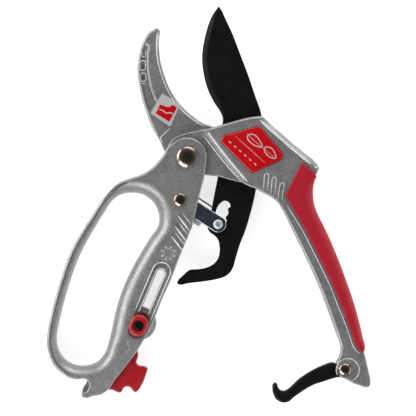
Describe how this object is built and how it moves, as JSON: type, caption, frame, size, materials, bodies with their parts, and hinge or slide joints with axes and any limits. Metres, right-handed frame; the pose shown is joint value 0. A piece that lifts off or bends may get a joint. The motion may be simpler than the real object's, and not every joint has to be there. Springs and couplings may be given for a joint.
{
  "type": "pruning shears",
  "caption": "Bypass ratchet pruning shears with a full finger loop, a soft-covered fixed handle, a swing latch and a sliding drive switch.",
  "frame": {"origin": "on the main pivot's axis, at the flat back of its rivet, which is the level the shears rest on", "axes": "+Z out of the front face along every pivot, +Y towards the blade tip, +X towards the fixed handle"},
  "size_m": [0.1781, 0.2184, 0.0206],
  "materials": {
    "cast_silver": "fine metallic satin paint on cast aluminium",
    "red_soft_grip": "matte soft cover",
    "red_label": "glossy domed",
    "silver_foil": "thin foil sticker",
    "nickel": "polished nickel",
    "steel": "polished steel",
    "spring_steel": "drawn spring wire",
    "red_plastic": "satin moulded",
    "dark_red_plastic": "moulded",
    "black_coating": "low-friction coated carbon steel",
    "black_plastic": "satin moulded"
  },
  "bodies": {
    "frame": {"frame_casting": "cast_silver", "grip": "red_soft_grip", "label_plate": "red_label", "hook_sticker": "silver_foil", "main_rivet": "nickel", "blade_pin": "steel", "latch_rivet": "nickel", "return_spring": "spring_steel"},
    "handle": {"loop_handle": "cast_silver", "link_rivet": "nickel", "link_sleeve": "steel", "bumper": "red_plastic"},
    "blade": {"blade": "black_coating"},
    "link": {"link_rear": "steel", "link_front": "steel", "link_pin": "steel", "link_screw": "steel", "link_spring": "spring_steel"},
    "slider": {"slider_base": "dark_red_plastic", "slider_knob": "red_plastic", "slider_screw": "black_plastic", "slider_plate": "steel", "slider_washer": "steel"},
    "latch": {"latch": "black_plastic", "latch_bush": "steel"}
  },
  "joints": [
    {"name": "handle_pivot", "type": "hinge", "parent": "frame", "child": "handle", "pos_m": [0, 0, 0.009], "axis": [0, 0, 1], "range_deg": [0, 35.6], "stiffness_Nm_per_rad": 0.8, "springref_deg": -11.46, "deforming": ["return_spring"]},
    {"name": "blade_pivot", "type": "hinge", "parent": "frame", "child": "blade", "pos_m": [0.028, 0.004, 0.0096], "axis": [0, 0, 1], "range_deg": [0, 27.7]},
    {"name": "link_pivot", "type": "hinge", "parent": "handle", "child": "link", "pos_m": [-0.0038, -0.0234, 0.009], "axis": [0, 0, 1], "range_deg": [-15, 0], "deforming": ["link_spring"]},
    {"name": "slider_slide", "type": "slide", "parent": "handle", "child": "slider", "axis": [0.3924, 0.9198, 0], "range_m": [0, 0.0285]},
    {"name": "latch_pivot", "type": "hinge", "parent": "frame", "child": "latch", "pos_m": [0.0868, -0.1168, 0.009], "axis": [0, 0, 1], "range_deg": [-3.5, 90]}
  ],
  "couplings": [
    {"joint": "blade_pivot", "follows": "handle_pivot", "ratio": 0.7777},
    {"joint": "link_pivot", "follows": "handle_pivot", "ratio": -0.42}
  ]
}
